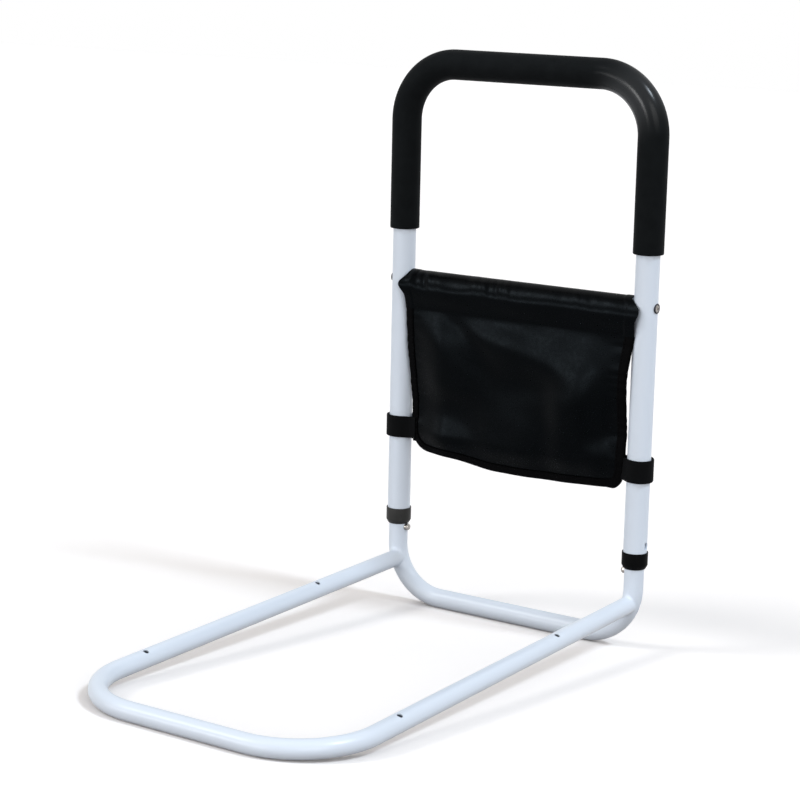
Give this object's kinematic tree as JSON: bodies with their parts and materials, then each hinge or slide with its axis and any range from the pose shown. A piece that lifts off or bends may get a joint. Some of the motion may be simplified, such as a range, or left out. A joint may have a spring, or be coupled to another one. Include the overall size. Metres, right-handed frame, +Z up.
{
  "type": "bed rail",
  "caption": "Bed rail: padded inverted-U handle that slides on a tubular base frame, with snap buttons and a strapped cloth pouch on a crossbar.",
  "frame": {"origin": "on the floor at the middle of the footprint", "axes": "+Z up; the handle stands at the +Y end; the base rails run from it towards -Y; +X is to the right seen from the far end of the base"},
  "size_m": [0.3346, 0.5934, 0.6252],
  "materials": {
    "frame_paint": "white powder coat, satin",
    "grip_foam": "matte closed-cell foam",
    "collar_plastic": "moulded, dark grey",
    "plug_plastic": "moulded, black",
    "button_steel": "bright steel",
    "dark_steel": "black oxide",
    "spring_steel": "plain spring strip",
    "pouch_cloth": "coated woven nylon, black",
    "pouch_tape": "woven binding tape, black",
    "strap_webbing": "woven webbing, black",
    "hook_and_loop": "hook and loop patch, black"
  },
  "bodies": {
    "lower_frame": {"lower_frame_tube": "frame_paint", "base_frame_tube": "frame_paint", "left_base_weld": "frame_paint", "right_base_weld": "frame_paint", "left_leg_plug": "plug_plastic", "right_leg_plug": "plug_plastic", "left_snap_spring": "spring_steel", "right_snap_spring": "spring_steel"},
    "upper_frame": {"upper_frame_tube": "frame_paint", "foam_grip": "grip_foam", "left_collar": "collar_plastic", "right_collar": "collar_plastic", "crossbar": "frame_paint", "left_crossbar_insert": "dark_steel", "right_crossbar_insert": "dark_steel", "left_crossbar_screw": "button_steel", "right_crossbar_screw": "button_steel", "left_screw_washer": "dark_steel", "right_screw_washer": "dark_steel", "pouch_sleeve": "pouch_cloth", "pouch_back_panel": "pouch_cloth", "pouch_pocket_panel": "pouch_cloth", "pouch_pocket_hem": "pouch_tape", "pouch_binding": "pouch_tape", "left_strap": "strap_webbing", "right_strap": "strap_webbing", "left_strap_patch": "hook_and_loop", "right_strap_patch": "hook_and_loop"},
    "left_button": {"left_snap_button": "button_steel"},
    "right_button": {"right_snap_button": "button_steel"}
  },
  "joints": [
    {"name": "height_slide", "type": "slide", "parent": "lower_frame", "child": "upper_frame", "axis": [0, -0.0717, 0.9974], "range_m": [0, 0.1]},
    {"name": "left_button_press", "type": "slide", "parent": "lower_frame", "child": "left_button", "axis": [-1, 0, 0], "range_m": [0, 0.005], "stiffness_N_per_m": 2500, "springref_m": -0.002, "deforming": ["left_snap_spring"]},
    {"name": "right_button_press", "type": "slide", "parent": "lower_frame", "child": "right_button", "axis": [1, 0, 0], "range_m": [0, 0.005], "stiffness_N_per_m": 2500, "springref_m": -0.002, "deforming": ["right_snap_spring"]}
  ]
}
